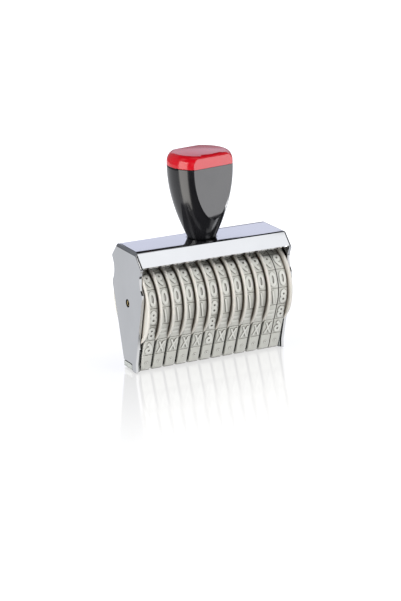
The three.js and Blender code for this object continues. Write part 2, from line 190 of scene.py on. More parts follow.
# Overrun of a cutting tool past the face that it cuts, facets in a full circle, steps in a curve,
# and the angles in degrees from which an edge stays sharp or is broken
OVERRUN = 1
PIN_FACETS = 48
WHEEL_FACETS = 96
GRIP_FACETS = 160
HOOD_END_STEPS = 6
SHOULDER_STEPS = 8
CHEEK_BEND_STEPS = 10
HOOD_BEND_STEPS = 12
CAP_TOP_STEPS = 12
RIM_STEPS = 14
CAP_ROUND_STEPS = 20
SCALLOP_STEPS = 32
GRIP_STEPS = 48
SHARP_ANGLE = 32
BAND_SHARP_ANGLE = 40
GRIP_SHARP_ANGLE = 25
SHEET_BREAK_ANGLE = 35
GRIP_BREAK_ANGLE = 28

# Surfaces: how near another surface has to be for shade to be painted on one, how high the fine
# relief of each is, how deep light enters the wheels' plastic, and the spans of noise that the
# looks follow
CHROME_SHADE_REACH = 1.5
WHEEL_SHADE_REACH = 3
BAND_SHADE_REACH = 1.5
BRIDGE_SHADE_REACH = 2
METAL_SHADE_REACH = 2
CHROME_WAVE = 0.08
WHEEL_GRAIN = 0.02
BAND_GRAIN = 0.04
BRIDGE_GRAIN = 0.05
WHEEL_LIGHT_DEPTH = 1
SHADE_SAMPLES = 8
ROUGHNESS_SPAN = (0.35, 0.65)
COLOUR_SPAN = (0.3, 0.7)

# Floor: its reach, its glow near the stamp and far from it with the distances of both, and how
# much the distances along X, Y and Z count
FLOOR_REACH = 40_000
FLOOR_NEAR = 10
FLOOR_NEAR_GLOW = 0.62
FLOOR_FAR = 170
FLOOR_FAR_GLOW = 0.98
FLOOR_DISTANCE_SHARES = (0.5, 1, 1)
FLOOR_REFRACTIVE_INDEX = 2.3

# Lamps: a key above the front and to the right, and a fill at the left. Power is in watts.
LAMP_TARGET = (0, 0, 40)
LAMPS = {
    "key": {"place": (350, -750, 750), "size": (400, 300), "power": 7.2},
    "fill": {"place": (-900, -220, 300), "size": (300, 300), "power": 4},
}

# The studio's panels, later ones over earlier ones, in a dark room: azimuth of the middle from the
# front towards the right and half width in degrees, sine of the lowest and the highest elevation,
# and colour
STUDIO = {
    "low wall behind and at the sides": (155, 118, -1.1, -0.12, (0.83, 0.845, 0.87)),
    "low dark gap at the right": (75, 31, -0.66, -0.3, (0.02, 0.02, 0.022)),
    "low card at the front left": (-30, 15, -0.45, -0.05, (0.8, 0.8, 0.82)),
    "column at the front right": (46, 9, 0.1, 0.5, (0.6, 0.6, 0.62)),
    "column at the front left": (-46, 9, 0.1, 0.5, (0.6, 0.6, 0.62)),
    "high card at the right": (111, 12, 0.52, 0.74, (0.8, 0.8, 0.82)),
    "high card at the left": (-111, 14, 0.45, 0.85, (0.8, 0.8, 0.82)),
    "ceiling": (180, 176, 0.955, 1.1, (0.6, 0.6, 0.62)),
    "dim wall at the rear left": (-150, 42, -0.05, 0.7, (0.25, 0.26, 0.28)),
    "dim strip at the rear right": (154, 24, -0.14, 0.2, (0.38, 0.39, 0.45)),
    "blue card that the top plate mirrors": (146, 24, 0.18, 0.35, (0.96, 0.99, 1.18)),
    "bright strip at the left": (-87, 17, -1.1, 0.5, (4.6, 4.5, 4.3)),
    "strip that the sheet's edges mirror": (25, 14, -0.6, 0.5, (1.25, 1.25, 1.24)),
    "bright card that the grip's flat mirrors": (49, 13, -0.36, -0.1, (4.8, 4.8, 4.9)),
    "bright low card at the right": (112, 16, -0.9, -0.35, (5.5, 5.5, 5.6)),
    "high card that the hood's slope mirrors": (48, 24, 0.8, 0.94, (1.55, 1.57, 1.59)),
}
ROOM = (0.02, 0.02, 0.022)
PANEL_SOFT_ANGLE = 2.5
PANEL_SOFT_EDGE = 0.02
JUST_OVER_ONE = 1.0001

# Sizes worked out from the ones above, and places in Y and Z on the rear edge of a cheek
flange_radius = BAND_WHEEL_RADIUS + FLANGE_RISE
axle_height = BRIDGE_TOP + WHEEL_FOOT_GAP + flange_radius
frame_height = axle_height + flange_radius + HOOD_CLEARANCE + SHEET
frame_end = FRAME_LENGTH / 2
cheek_inside = frame_end - SHEET
hood_slope = math.atan2(HOOD_DROP, HOOD_REACH)
lip = (TOP_HALF_DEPTH + HOOD_REACH, frame_height - HOOD_DROP)
scallop_top = (lip[0] - LIP_INSET, lip[1] - LIP_STRAIGHT)
shoulder = (lip[0] + SHOULDER_REACH, scallop_top[1] - SCALLOP_LENGTH - SHOULDER_ROUND_HEIGHT)
scallop_foot = (shoulder[0] - SHOULDER_ROUND_DEPTH, shoulder[1] + SHOULDER_ROUND_HEIGHT)
foot = (FACE_HALF_DEPTH + BAND_CORNER + FOOT_MARGIN, FOOT_HEIGHT)
cheek_reach = shoulder[0] + SHEET
band_thickness = BELT_THICKNESS + CHARACTER_HEIGHT
band_gaps = BAND_SIDE_GAP * (2 * WHEEL_COUNT - 2) + FACING_BAND_GAP
band_width = (
    2 * cheek_inside - 2 * WHEEL_SIDE_GAP - WHEEL_COUNT * RIM_WIDTH - band_gaps
) / WHEEL_COUNT
wheel_pitch = RIM_WIDTH + band_width + 2 * BAND_SIDE_GAP
drum_radius = BAND_WHEEL_RADIUS - band_thickness - DRUM_BAND_GAP
drum_length = wheel_pitch - WHEEL_END_GAP
hub_bore = AXLE_RADIUS + RUNNING_GAP
grip_seam = GRIP_SHOULDER + GRIP_STRAIGHT
grip_height = grip_seam + CAP_HEIGHT
spigot_radius = FACET_HALF_DEPTH - CAP_WALL
cap_flat_radius = GRIP_RADIUS - CAP_ROUND_REACH


# Camera

def aim_camera():
    azimuth, elevation, roll = CAMERA_AZIMUTH, CAMERA_ELEVATION, CAMERA_ROLL
    back = Vector((
        -math.sin(azimuth) * math.cos(elevation),
        -math.cos(azimuth) * math.cos(elevation),
        math.sin(elevation),
    ))
    right = Vector((math.cos(azimuth), -math.sin(azimuth), 0))
    up = back.cross(right)
    rolled_right = right * math.cos(roll) + up * math.sin(roll)
    rolled_up = up * math.cos(roll) - right * math.sin(roll)
    data = bpy.data.cameras.new("photo_camera")
    data.sensor_fit = "AUTO"
    data.sensor_width = CAMERA_SENSOR
    data.lens = CAMERA_LENS
    data.clip_end = CAMERA_RANGE * MM
    camera = bpy.data.objects.new("photo_camera", data)
    camera.matrix_world = Matrix.Translation(Vector(CAMERA_PLACE) * MM) @ Matrix(
        (rolled_right, rolled_up, back)
    ).transposed().to_4x4()
    bpy.context.scene.collection.objects.link(camera)
    bpy.context.scene.camera = camera


aim_camera()


# Materials

def new_material(name, colour, roughness, metallic=0):
    material = bpy.data.materials.new(name)
    material.use_nodes = True
    shader = material.node_tree.nodes["Principled BSDF"]
    shader.inputs["Base Color"].default_value = (*colour, 1)
    shader.inputs["Roughness"].default_value = roughness
    shader.inputs["Metallic"].default_value = metallic
    return material


# Lets light into the surface, red deepest
def let_light_in(material, share, depth):
    shader = material.node_tree.nodes["Principled BSDF"]
    shader.inputs["Subsurface Weight"].default_value = share
    shader.inputs["Subsurface Radius"].default_value = (1, 0.8, 0.6)
    shader.inputs["Subsurface Scale"].default_value = depth * MM


def add_noise(material, scale, detail=3, stretch=(1, 1, 1)):
    nodes, links = material.node_tree.nodes, material.node_tree.links
    place = nodes.new("ShaderNodeTexCoord")
    mapping = nodes.new("ShaderNodeMapping")
    mapping.inputs["Scale"].default_value = stretch
    noise = nodes.new("ShaderNodeTexNoise")
    noise.inputs["Scale"].default_value = scale
    noise.inputs["Detail"].default_value = detail
    links.new(place.outputs["Object"], mapping.inputs["Vector"])
    links.new(mapping.outputs["Vector"], noise.inputs["Vector"])
    return noise


# A value that runs from one result to another while its source runs over a span
def add_ramp(material, source, span, low, high):
    nodes, links = material.node_tree.nodes, material.node_tree.links
    ramp = nodes.new("ShaderNodeMapRange")
    ramp.inputs["From Min"].default_value = span[0]
    ramp.inputs["From Max"].default_value = span[1]
    ramp.inputs["To Min"].default_value = low
    ramp.inputs["To Max"].default_value = high
    links.new(source, ramp.inputs["Value"])
    return ramp.outputs["Result"]


def vary_roughness(material, noise, low, high):
    shader = material.node_tree.nodes["Principled BSDF"]
    result = add_ramp(material, noise.outputs["Fac"], ROUGHNESS_SPAN, low, high)
    material.node_tree.links.new(result, shader.inputs["Roughness"])


def vary_colour(material, source, first, second, span=COLOUR_SPAN):
    nodes, links = material.node_tree.nodes, material.node_tree.links
    share = add_ramp(material, source.outputs["Fac"], span, 0, 1)
    mix = nodes.new("ShaderNodeMix")
    mix.data_type = "RGBA"
    mix.inputs["A"].default_value = (*first, 1)
    mix.inputs["B"].default_value = (*second, 1)
    links.new(share, mix.inputs["Factor"])
    links.new(mix.outputs["Result"], nodes["Principled BSDF"].inputs["Base Color"])


def add_bump(material, noise, height):
    nodes, links = material.node_tree.nodes, material.node_tree.links
    bump = nodes.new("ShaderNodeBump")
    bump.inputs["Distance"].default_value = height * MM
    bump.inputs["Strength"].default_value = 1
    links.new(noise.outputs["Fac"], bump.inputs["Height"])
    links.new(bump.outputs["Normal"], nodes["Principled BSDF"].inputs["Normal"])


# Paints shade into the colour wherever other surfaces stand within a distance, as shade falls in
# crevices: fully where the openness is no more than the first share, and not at all from the
# second share on
def paint_crevice_shade(material, distance, dark, shares):
    nodes, links = material.node_tree.nodes, material.node_tree.links
    colour = nodes["Principled BSDF"].inputs["Base Color"]
    openness = nodes.new("ShaderNodeAmbientOcclusion")
    openness.inputs["Distance"].default_value = distance * MM
    openness.samples = SHADE_SAMPLES
    mix = nodes.new("ShaderNodeMix")
    mix.data_type = "RGBA"
    mix.inputs["A"].default_value = (*dark, 1)
    if colour.is_linked:
        links.new(colour.links[0].from_socket, mix.inputs["B"])
    else:
        mix.inputs["B"].default_value = colour.default_value
    open_share = add_ramp(material, openness.outputs["AO"], shares, 0, 1)
    links.new(open_share, mix.inputs["Factor"])
    links.new(mix.outputs["Result"], colour)


def make_chrome():
    material = new_material("polished_chrome", (0.545, 0.55, 0.565), roughness=0.05, metallic=1)
    smudges = add_noise(material, scale=45, detail=5)
    vary_roughness(material, smudges, low=0.04, high=0.11)
    vary_colour(material, smudges, first=(0.525, 0.53, 0.545), second=(0.565, 0.57, 0.585))
    # Painted shade: the chrome goes dark where other surfaces stand close to it
    paint_crevice_shade(material, CHROME_SHADE_REACH, dark=(0.02, 0.02, 0.02), shares=(0.5, 0.85))
    waves = add_noise(material, scale=18, detail=1)
    add_bump(material, waves, CHROME_WAVE)
    return material


def make_wheel_plastic():
    material = new_material("cream_plastic", (0.64, 0.62, 0.575), roughness=0.5)
    let_light_in(material, share=0.1, depth=WHEEL_LIGHT_DEPTH)
    # Painted shade: brown darkening where the wheel stands close to the bands and the other wheels
    paint_crevice_shade(material, WHEEL_SHADE_REACH, dark=(0.24, 0.19, 0.135), shares=(0.3, 0.9))
    mottle = add_noise(material, scale=160)
    vary_roughness(material, mottle, low=0.45, high=0.55)
    grain = add_noise(material, scale=2200)
    add_bump(material, grain, WHEEL_GRAIN)
    return material


# The raised characters are painted a little paler than the belt, a painted highlight on the tops
# that catch more light
def make_band_rubber():
    material = new_material("pale_rubber", (0.6, 0.61, 0.58), roughness=0.5)
    raised = material.node_tree.nodes.new("ShaderNodeAttribute")
    raised.attribute_name = "raised"
    vary_colour(
        material, raised, first=(0.59, 0.592, 0.55), second=(0.68, 0.683, 0.643), span=(0, 1)
    )
    # Painted shade: dark outlines round the characters, in the grooves and beside the wheels' rims
    paint_crevice_shade(material, BAND_SHADE_REACH, dark=(0.13, 0.117, 0.097), shares=(0.5, 0.95))
    dust = add_noise(material, scale=700)
    vary_roughness(material, dust, low=0.42, high=0.62)
    add_bump(material, dust, BAND_GRAIN)
    return material


def make_bridge_plastic():
    material = new_material("bridge_plastic", (0.39, 0.41, 0.4), roughness=0.4)
    mottle = add_noise(material, scale=300)
    vary_colour(material, mottle, first=(0.39, 0.41, 0.4), second=(0.43, 0.45, 0.44))
    # Painted shade: the bridge goes dark in the gaps beside the frame and the bands
    paint_crevice_shade(material, BRIDGE_SHADE_REACH, dark=(0.015, 0.02, 0.02), shares=(0.5, 0.92))
    add_bump(material, mottle, BRIDGE_GRAIN)
    return material


def make_grip_plastic(name, colour, lighter):
    material = new_material(name, colour, roughness=0.12)
    haze = add_noise(material, scale=60, detail=4)
    vary_roughness(material, haze, low=0.09, high=0.17)
    vary_colour(material, haze, colour, lighter)
    return material


def make_turned_metal(name, colour, lighter):
    material = new_material(name, colour, roughness=0.3, metallic=1)
    lines = add_noise(material, scale=900, detail=2, stretch=(4, 1, 1))
    vary_roughness(material, lines, low=0.22, high=0.42)
    vary_colour(material, lines, colour, lighter)
    # Painted shade: the metal goes dark in its hollows, such as the drilled hollows in the axle's
    # ends
    paint_crevice_shade(material, METAL_SHADE_REACH, dark=(0.012, 0.01, 0.008), shares=(0.6, 1))
    return material


chrome = make_chrome()
wheel_plastic = make_wheel_plastic()
band_rubber = make_band_rubber()
black_plastic = make_grip_plastic("black_plastic", (0.006, 0.006, 0.007), (0.012, 0.012, 0.014))
red_plastic = make_grip_plastic("red_plastic", (0.455, 0.003, 0.009), (0.515, 0.005, 0.014))
bridge_plastic = make_bridge_plastic()
axle_metal = make_turned_metal("axle_brass", (0.36, 0.27, 0.12), (0.48, 0.37, 0.17))
screw_metal = make_turned_metal("zinc_steel", (0.5, 0.51, 0.53), (0.62, 0.63, 0.65))


# Shapes

def shade(mesh, sharp_angle):
    mesh.shade_smooth()
    mesh.set_sharp_from_angle(angle=math.radians(sharp_angle))


def add_object(name, vertices, faces, material, sharp_angle=SHARP_ANGLE):
    mesh = bpy.data.meshes.new(name)
    mesh.from_pydata([Vector(vertex) * MM for vertex in vertices], [], faces)
    mesh.validate()
    model = bmesh.new()
    model.from_mesh(mesh)
    bmesh.ops.recalc_face_normals(model, faces=model.faces)
    model.to_mesh(mesh)
    model.free()
    shade(mesh, sharp_angle)
    mesh.materials.append(material)
    piece = bpy.data.objects.new(name, mesh)
    bpy.context.scene.collection.objects.link(piece)
    return piece


def break_edges(piece, width, segments, angle):
    bevel = piece.modifiers.new("edges", "BEVEL")
    bevel.limit_method = "ANGLE"
    bevel.angle_limit = math.radians(angle)
    bevel.width = width * MM
    bevel.segments = segments
    bevel.harden_normals = True


# Cuts a tool out of a piece, joins it on or keeps what both share, and takes the tool away
def combine(piece, tool, operation):
    modifier = piece.modifiers.new("combine", "BOOLEAN")
    modifier.object = tool
    modifier.operation = operation
    modifier.solver = "EXACT"
    evaluated = piece.evaluated_get(bpy.context.evaluated_depsgraph_get())
    mesh = bpy.data.meshes.new_from_object(evaluated)
    piece.modifiers.clear()
    piece.data = mesh
    bpy.data.objects.remove(tool)


def arc(centre, radius, start, end, steps):
    return [
        (
            centre[0] + radius * math.cos(start + (end - start) * i / steps),
            centre[1] + radius * math.sin(start + (end - start) * i / steps),
        )
        for i in range(steps + 1)
    ]


# The points of a curve with one control point, without the first
def quadratic(start, control, end, steps):
    points = []
    for i in range(1, steps + 1):
        t = i / steps
        points.append(tuple(
            (1 - t) ** 2 * a + 2 * t * (1 - t) * b + t * t * c
            for a, b, c in zip(start, control, end)
        ))
    return points


# A closed outline run along one axis; the outline's pairs are the other two axes in order
def prism(name, outline, axis, start, end, material):
    def place(pair, along):
        values = list(pair)
        values.insert(axis, along)
        return tuple(values)

    count = len(outline)
    vertices = [place(pair, start) for pair in outline] + [place(pair, end) for pair in outline]
    faces = [tuple(range(count)), tuple(range(2 * count - 1, count - 1, -1))]
    for i in range(count):
        after = (i + 1) % count
        faces.append((i, i + count, after + count, after))
    return add_object(name, vertices, faces, material)


# A profile of (along, radius) pairs turned about an axis. A closed profile makes a ring, and an
# open one starts and ends on the axis.
def turned(name, profile, axis, facets, material, closed):
    vertices = []
    rings = []
    for along, radius in profile:
        ring = []
        for i in range(facets if radius else 1):
            angle = 2 * math.pi * i / facets
            values = [radius * math.cos(angle), radius * math.sin(angle)]
            values.insert(axis, along)
            ring.append(len(vertices))
            vertices.append(tuple(values))
        rings.append(ring)
    faces = []
    pairs = list(zip(rings, rings[1:]))
    if closed:
        pairs.append((rings[-1], rings[0]))
    for first, second in pairs:
        for i in range(facets):
            after = (i + 1) % facets
            corners = [
                first[i % len(first)], first[after % len(first)],
                second[after % len(second)], second[i % len(second)],
            ]
            faces.append(tuple(dict.fromkeys(corners)))
    return add_object(name, vertices, faces, material)


# Frame

# One face of the bend between the rear slope of the hood and the flat top, in Y and Z. The top
# already falls a little before the bend, as bent sheet does, and the outer face shows it.
def hood_bend(face_radius):
    soft_drop = SOFT_REACH * math.tan(SOFT_TILT) / 2
    drop = soft_drop - HOOD_BEND * (1 - math.cos(SOFT_TILT))
    centre = (
        TOP_HALF_DEPTH - HOOD_BEND * math.tan(hood_slope / 2) + drop / math.tan(hood_slope),
        frame_height - HOOD_BEND - drop,
    )
    up = math.pi / 2
    if face_radius < HOOD_BEND:
        return arc(centre, face_radius, up - hood_slope, up, HOOD_BEND_STEPS)
    bend = arc(centre, face_radius, up - hood_slope, up - SOFT_TILT, HOOD_BEND_STEPS)
    soft = [
        (bend[-1][0] - SOFT_REACH * (1 - share), frame_height - soft_drop * share * share)
        for share in SOFT_SHARES
    ]
    return bend + soft


def cheek_outline():
    taper_share = SHOULDER_ROUND / (shoulder[1] - foot[1])
    taper_end = (
        shoulder[0] - (shoulder[0] - foot[0]) * taper_share,
        shoulder[1] - SHOULDER_ROUND,
    )
    scallop_control = (
        (scallop_top[0] + scallop_foot[0]) / 2 - 2 * SCALLOP_DEPTH,
        (scallop_top[1] + scallop_foot[1]) / 2,
    )
    rear = [(foot[0], CHEEK_LIFT), foot, taper_end]
    rear += quadratic(taper_end, shoulder, scallop_foot, SHOULDER_STEPS)
    rear += quadratic(scallop_foot, scallop_control, scallop_top, SCALLOP_STEPS)
    rear += [lip, *hood_bend(HOOD_BEND)]
    return rear + [(-depth, height) for depth, height in reversed(rear)]


# One face of the sheet over both cheeks and the top, in X and Z
def sheet_face(radius):
    centre = (frame_end - CHEEK_BEND, frame_height - CHEEK_BEND)
    up = math.pi / 2
    return (
        [(centre[0] + radius, -OVERRUN)]
        + arc(centre, radius, 0, up, CHEEK_BEND_STEPS)
        + arc((-centre[0], centre[1]), radius, up, math.pi, CHEEK_BEND_STEPS)
        + [(-centre[0] - radius, -OVERRUN)]
    )


# A sloping flange with its bend, in Y and Z, at the front or the rear
def flange_section(side):
    outer_bend = hood_bend(HOOD_BEND)
    inner_bend = hood_bend(HOOD_BEND - SHEET)
    points = [
        lip,
        *outer_bend,
        (outer_bend[-1][0], frame_height - SHEET),
        *reversed(inner_bend),
        (lip[0] - SHEET * math.sin(hood_slope), lip[1] - SHEET * math.cos(hood_slope)),
    ]
    return [(side * depth, height) for depth, height in points]


def add_flange(shell, side):
    flange = prism("flange", flange_section(side), 0, -frame_end, frame_end, chrome)
    outside = prism("outside", sheet_face(CHEEK_BEND), 1, -cheek_reach, cheek_reach, chrome)
    combine(flange, outside, "INTERSECT")
    combine(shell, flange, "UNION")


# The axle's hole through a cheek, with a well round it in the outer face
def cut_axle_hole(shell, side):
    hole_radius = AXLE_RADIUS + AXLE_HOLE_GAP
    well_floor = frame_end - AXLE_WELL_DEPTH
    profile = [
        (cheek_inside - OVERRUN, 0),
        (cheek_inside - OVERRUN, hole_radius),
        (well_floor, hole_radius),
        (well_floor, AXLE_WELL_RADIUS),
        (frame_end + OVERRUN, AXLE_WELL_RADIUS),
        (frame_end + OVERRUN, 0),
    ]
    profile = [(side * along, radius) for along, radius in profile]
    hole = turned("hole", profile, 0, PIN_FACETS, chrome, closed=False)
    hole.data.transform(Matrix.Translation((0, 0, axle_height * MM)))
    combine(shell, hole, "DIFFERENCE")


# The notch that takes the bridge's lug at the rear of a cheek's foot, open below and behind
def cut_notch(shell, side):
    outline = [
        (-LUG_FRONT - NOTCH_GAP, -OVERRUN),
        (-LUG_FRONT - NOTCH_GAP, LUG_TOP + NOTCH_GAP),
        (cheek_reach, LUG_TOP + NOTCH_GAP),
        (cheek_reach, -OVERRUN),
    ]
    ends = sorted((side * (cheek_inside - OVERRUN), side * (frame_end + OVERRUN)))
    combine(shell, prism("notch", outline, 0, *ends, chrome), "DIFFERENCE")


# Rounds the edges between the cheeks and one slope of the hood, with a block that holds all of the
# frame but those edges
def round_hood_ends(shell, side):
    depth = 2 * frame_height
    centre = (frame_end - HOOD_END_ROUND, -HOOD_END_ROUND)
    up = math.pi / 2
    outline = [
        (frame_end, -depth),
        *arc(centre, HOOD_END_ROUND, 0, up, HOOD_END_STEPS),
        *arc((-centre[0], centre[1]), HOOD_END_ROUND, up, math.pi, HOOD_END_STEPS),
        (-frame_end, -depth),
    ]
    block = prism("round_block", outline, 1, -depth, depth, chrome)
    move = Matrix.Translation(Vector((0, side * lip[0], lip[1])) * MM)
    block.data.transform(move @ Matrix.Rotation(-side * hood_slope, 4, "X"))
    combine(shell, block, "INTERSECT")


def make_frame():
    section = sheet_face(CHEEK_BEND) + sheet_face(CHEEK_BEND - SHEET)[::-1]
    shell = prism("frame_shell", section, 1, -cheek_reach, cheek_reach, chrome)
    outside = frame_end + OVERRUN
    outline = prism("frame_outline", cheek_outline(), 0, -outside, outside, chrome)
    combine(shell, outline, "INTERSECT")
    for side in (-1, 1):
        add_flange(shell, side)
        cut_axle_hole(shell, side)
        cut_notch(shell, side)
        round_hood_ends(shell, side)
    break_edges(shell, EDGE_BREAK, segments=2, angle=SHEET_BREAK_ANGLE)
    shade(shell.data, SHARP_ANGLE)
    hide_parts("frame")
    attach(shell, "stamp")


make_frame()


# Thumbwheels. Each is turned with its flange's outer face at X 0 and its drum towards +X.

def wheel_profile():
    bead = RIM_WIDTH / 2
    inset = RIM_WIDTH - FLANGE_THICKNESS
    rim_inside = BAND_WHEEL_RADIUS + RIM_BAND_GAP
    pocket = drum_radius - DRUM_WALL
    return [
        (WHEEL_CHAMFER, hub_bore),
        (0, hub_bore + WHEEL_CHAMFER),
        (0, HUB_RADIUS),
        (inset, HUB_RADIUS + HUB_SLOPE),
        (inset, rim_inside - RIM_EASE),
        (inset - RIM_EASE, rim_inside + WHEEL_CHAMFER),
        (RIM_EASE, rim_inside + inset - RIM_EASE / 2),
        (0, rim_inside + inset + WHEEL_CHAMFER),
        *arc((bead, flange_radius - bead), bead, math.pi, 0, RIM_STEPS),
        (RIM_WIDTH, drum_radius),
        (drum_length - WHEEL_CHAMFER, drum_radius),
        (drum_length, drum_radius - WHEEL_CHAMFER),
        (drum_length, pocket),
        (WEB_THICKNESS + POCKET_CHAMFER, pocket),
        (WEB_THICKNESS, pocket - POCKET_CHAMFER),
        (WEB_THICKNESS, HUB_RADIUS + POCKET_CHAMFER),
        (WEB_THICKNESS + POCKET_CHAMFER, HUB_RADIUS),
        (drum_length, HUB_RADIUS),
        (drum_length, hub_bore),
    ]


# Where the outer face of a wheel's flange stands along the row
def flange_face(place):
    if place == WHEEL_COUNT:
        return cheek_inside - WHEEL_SIDE_GAP
    return (place - 1) * wheel_pitch - cheek_inside + WHEEL_SIDE_GAP


# The last wheel is turned round, so that its flange closes the row
def make_wheel(place):
    name = f"thumbwheel_piece_{place:02d}"
    wheel = turned(name, wheel_profile(), 0, WHEEL_FACETS, wheel_plastic, closed=True)
    turn = math.pi if place == WHEEL_COUNT else 0
    move = Matrix.Translation(Vector((flange_face(place), 0, axle_height)) * MM)
    wheel.data.transform(move @ Matrix.Rotation(turn, 4, "Z"))
    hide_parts(f"wheel_{place:02d}")
    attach(wheel, f"thumbwheel_{place:02d}")


for place in range(1, WHEEL_COUNT + 1):
    make_wheel(place)


# Bands. The loop is measured along the middle of the band's thickness from the middle of the
# face, positive up the front and negative up the rear.

middle_out = band_thickness / 2
belt_out = middle_out - CHARACTER_HEIGHT
corner_middle = BAND_CORNER - middle_out
wheel_middle = BAND_WHEEL_RADIUS - middle_out
centre_rise = axle_height - BAND_CORNER
centre_distance = math.hypot(FACE_HALF_DEPTH, centre_rise)
radius_step = BAND_WHEEL_RADIUS - BAND_CORNER
run_lean = (
    math.asin(radius_step / centre_distance) - math.atan2(FACE_HALF_DEPTH, centre_rise)
)
run_length = math.sqrt(centre_distance**2 - radius_step**2)
corner_arc = (math.pi / 2 - run_lean) * corner_middle
wheel_start = FACE_HALF_DEPTH + corner_arc + run_length
half_loop = wheel_start + (math.pi / 2 + run_lean) * wheel_middle
cell_pitch = 2 * half_loop / CELL_COUNT


# The place in Y and Z at a distance along the loop and a distance out from its middle
def loop_point(along, out):
    along = (along + half_loop) % (2 * half_loop) - half_loop
    distance = abs(along)
    corner_radius = corner_middle + out
    if distance <= FACE_HALF_DEPTH:
        depth, height = distance, BAND_CORNER - corner_radius
    elif distance <= FACE_HALF_DEPTH + corner_arc:
        turned_by = (distance - FACE_HALF_DEPTH) / corner_middle
        depth = FACE_HALF_DEPTH + corner_radius * math.sin(turned_by)
        height = BAND_CORNER - corner_radius * math.cos(turned_by)
    elif distance <= wheel_start:
        up = distance - FACE_HALF_DEPTH - corner_arc
        depth = FACE_HALF_DEPTH + corner_radius * math.cos(run_lean) + up * math.sin(run_lean)
        height = BAND_CORNER - corner_radius * math.sin(run_lean) + up * math.cos(run_lean)
    else:
        angle = (distance - wheel_start) / wheel_middle - run_lean
        depth = (wheel_middle + out) * math.cos(angle)
        height = axle_height + (wheel_middle + out) * math.sin(angle)
    return (-depth if along > 0 else depth), height


# The belt's outer height at a distance along the loop: a pad in each cell, parted by grooves
def belt_height(along):
    in_cell = (along + half_loop - BAND_CREEP) % cell_pitch
    to_groove = min(in_cell, cell_pitch - in_cell)
    share = min(1, to_groove / GROOVE_HALF_WIDTH)
    return belt_out + PAD_RISE - GROOVE_DEPTH * (1 - share * share)


# The belt's section, as pairs of a distance across its width and a distance out from its middle
def belt_section(top):
    bottom = -middle_out
    inner, outer = BELT_INNER_CHAMFER, BELT_OUTER_ROUND
    step = BELT_OUTER_ROUND_SHARE * outer
    left = [
        (inner, bottom), (0, bottom + inner), (0, top - outer), (step, top - step), (outer, top)
    ]
    right = [(band_width - across, out) for across, out in left]
    return left[:1] + right + left[:0:-1]


# Distances along the loop at which the belt has a section, closer together at the grooves
def belt_stops():
    pad_share = 1 - 2 * GROOVE_SHARE
    shares = [0, GROOVE_SHARE / 2, GROOVE_SHARE]
    shares += [GROOVE_SHARE + pad_share * i / CELL_STEPS for i in range(1, CELL_STEPS + 1)]
    shares.append(1 - GROOVE_SHARE / 2)
    stops = []
    for cell in range(CELL_COUNT):
        start = cell * cell_pitch - half_loop + BAND_CREEP
        stops += [start + cell_pitch * share for share in shares]
    return stops


def belt_mesh():
    sections = [
        [(across, *loop_point(along, out)) for across, out in belt_section(belt_height(along))]
        for along in belt_stops()
    ]
    count = len(sections[0])
    faces = []
    for i in range(len(sections)):
        start = i * count
        after = (i + 1) % len(sections) * count
        for k in range(count):
            next_k = (k + 1) % count
            faces.append((start + k, start + next_k, after + next_k, after + k))
    return [vertex for section in sections for vertex in section], faces


def character_row(character):
    return CHARACTERS.get(character, DIGIT)


def letter_mesh(character, widening):
    curve = bpy.data.curves.new("character", "FONT")
    curve.body = character
    curve.extrude = LETTER_DEPTH_SHARE
    curve.bevel_depth = LETTER_BEVEL_SHARE
    curve.bevel_resolution = 1
    curve.offset = widening
    curve.resolution_u = LETTER_CURVE_STEPS
    holder = bpy.data.objects.new("character", curve)
    mesh = bpy.data.meshes.new_from_object(holder)
    bpy.data.objects.remove(holder)
    return mesh


# A raised character as a solid whose points are (across, along, share of height), mirrored as on
# every stamp, and cut across so that it can follow the loop's curve
@functools.cache
def character_solid(character):
    width, height, _, widening = character_row(character)
    model = bmesh.new()
    model.from_mesh(letter_mesh(character, widening))
    bmesh.ops.remove_doubles(model, verts=model.verts, dist=LETTER_WELD_SHARE)
    low = Vector([min(v.co[k] for v in model.verts) for k in range(3)])
    high = Vector([max(v.co[k] for v in model.verts) for k in range(3)])
    size = high - low
    for v in model.verts:
        v.co = Vector((
            -((v.co.x - low.x) / size.x - 0.5) * width,
            ((v.co.y - low.y) / size.y - 0.5) * height,
            (v.co.z - low.z) / size.z,
        ))
    slices = max(2, round(height / CHARACTER_SLICE))
    for i in range(1, slices):
        bmesh.ops.bisect_plane(
            model,
            geom=list(model.verts) + list(model.edges) + list(model.faces),
            plane_co=(0, (i / slices - 0.5) * height, 0),
            plane_no=(0, 1, 0),
        )
    model.verts.index_update()
    points = [tuple(v.co) for v in model.verts]
    faces = [tuple(v.index for v in reversed(face.verts)) for face in model.faces]
    model.free()
    return points, faces


def add_characters(cells, vertices, faces):
    low = belt_out + PAD_RISE - CHARACTER_SINK
    for cell, character in enumerate(cells):
        relief_share = character_row(character)[2]
        points, character_faces = character_solid(character)
        middle = (cell + 0.5) * cell_pitch - half_loop + BAND_CREEP
        start = len(vertices)
        for across, along, share in points:
            out = low + (middle_out - low) * share * relief_share
            vertices.append((band_width / 2 + across, *loop_point(middle + along, out)))
        faces += [tuple(start + k for k in face) for face in character_faces]


# Where the left side of a band stands along the row
def band_side(place):
    beside_rim = RIM_WIDTH + BAND_SIDE_GAP
    if place == WHEEL_COUNT:
        return flange_face(place) - beside_rim - band_width
    return flange_face(place) + beside_rim


def make_band(place):
    vertices, faces = belt_mesh()
    belt_count = len(vertices)
    cells = OTHER_CELLS if place in OTHER_BANDS else COMMON_CELLS
    add_characters(cells, vertices, faces)
    name = f"band_piece_{place:02d}"
    band = add_object(name, vertices, faces, band_rubber, BAND_SHARP_ANGLE)
    raised = band.data.attributes.new("raised", "FLOAT", "POINT")
    raised.data.foreach_set("value", [float(i >= belt_count) for i in range(len(vertices))])
    band.data.transform(Matrix.Translation((band_side(place) * MM, 0, 0)))
    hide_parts(f"band_{place:02d}")
    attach(band, "stamp")


for place in range(1, WHEEL_COUNT + 1):
    make_band(place)


# Axle

